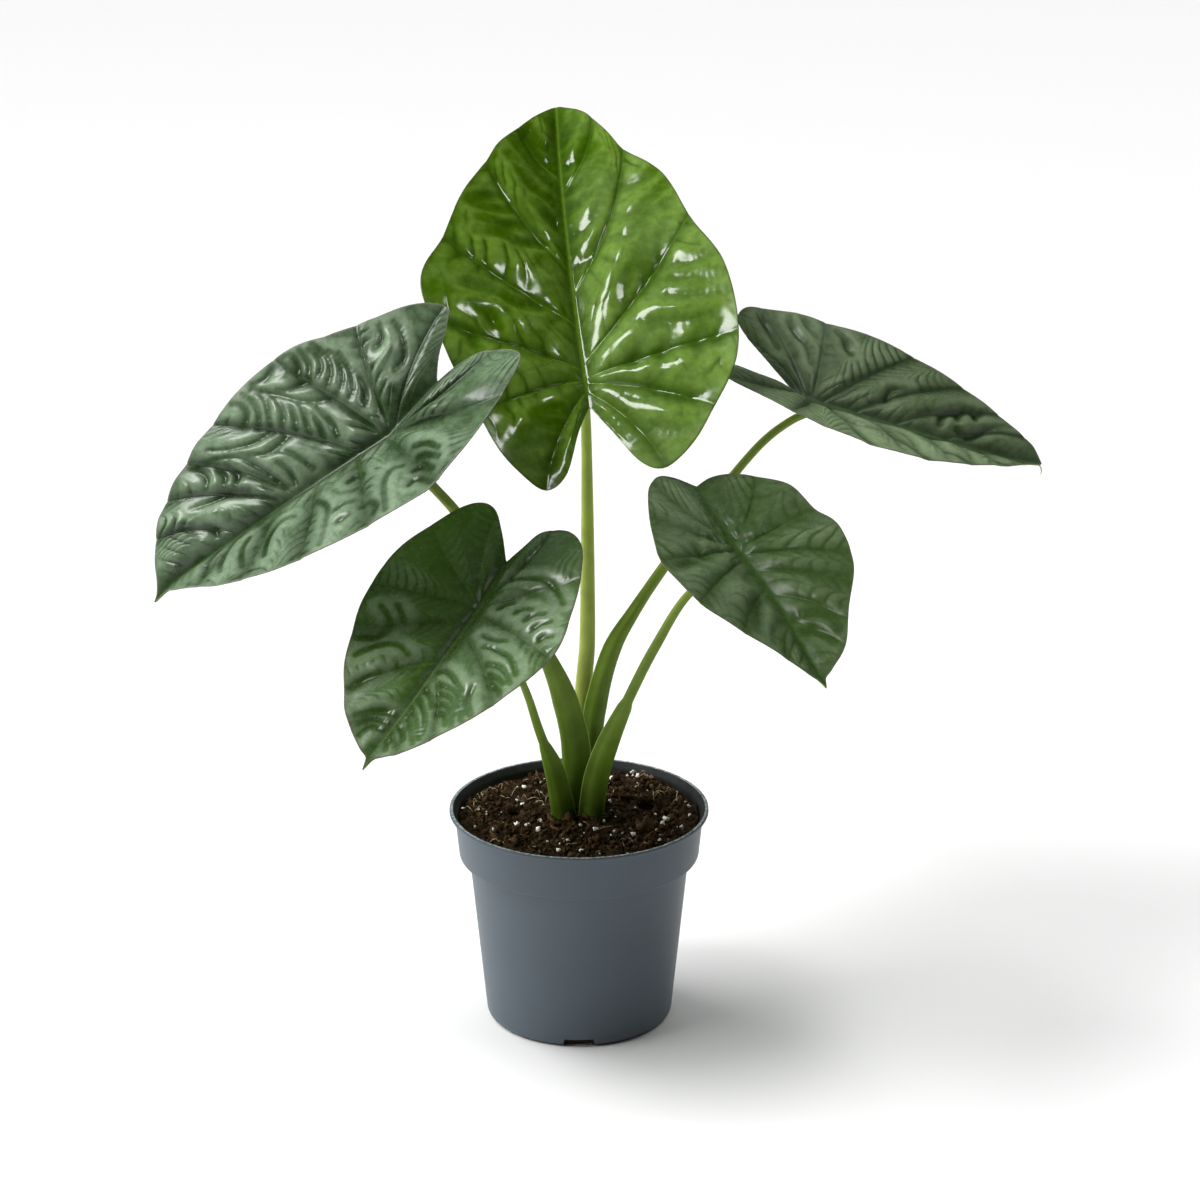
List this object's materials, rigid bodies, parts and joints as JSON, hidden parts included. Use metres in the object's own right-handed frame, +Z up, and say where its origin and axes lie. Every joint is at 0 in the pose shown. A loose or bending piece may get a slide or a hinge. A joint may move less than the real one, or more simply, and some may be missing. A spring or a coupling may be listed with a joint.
{
  "type": "potted alocasia plant",
  "caption": "Potted aroid house plant: quilted, glossy, shield-shaped leaves on sheathing stalks rising from one crown in a round plastic nursery pot of soil.",
  "frame": {"origin": "middle of the flat underside of the pot", "axes": "+Z up along the pot's axis, -Y towards the side shown in the picture, +X to the right of that view"},
  "size_m": [0.4052, 0.2864, 0.3946],
  "materials": {
    "pot_plastic": "moulded blue-grey polypropylene, satin",
    "potting_soil": "moist dark potting mix with bark and perlite",
    "young_stalk": "living stalk, pale yellow-green, satin",
    "grown_stalk": "living stalk, mid green, satin",
    "young_leaf": "living leaf, fresh green, very glossy",
    "silvery_leaf": "living leaf, grey-green with a silvery sheen",
    "grown_leaf": "living leaf, dark green, glossy",
    "dark_leaf": "living leaf, deep green, glossy"
  },
  "bodies": {
    "root": {"pot": "pot_plastic", "soil": "potting_soil", "stalk_1": "young_stalk", "stalk_2": "grown_stalk", "stalk_3": "grown_stalk", "stalk_4": "grown_stalk", "stalk_5": "grown_stalk", "leaf_1": "young_leaf", "leaf_2": "silvery_leaf", "leaf_3": "grown_leaf", "leaf_4": "grown_leaf", "leaf_5": "dark_leaf"}
  },
  "joints": []
}
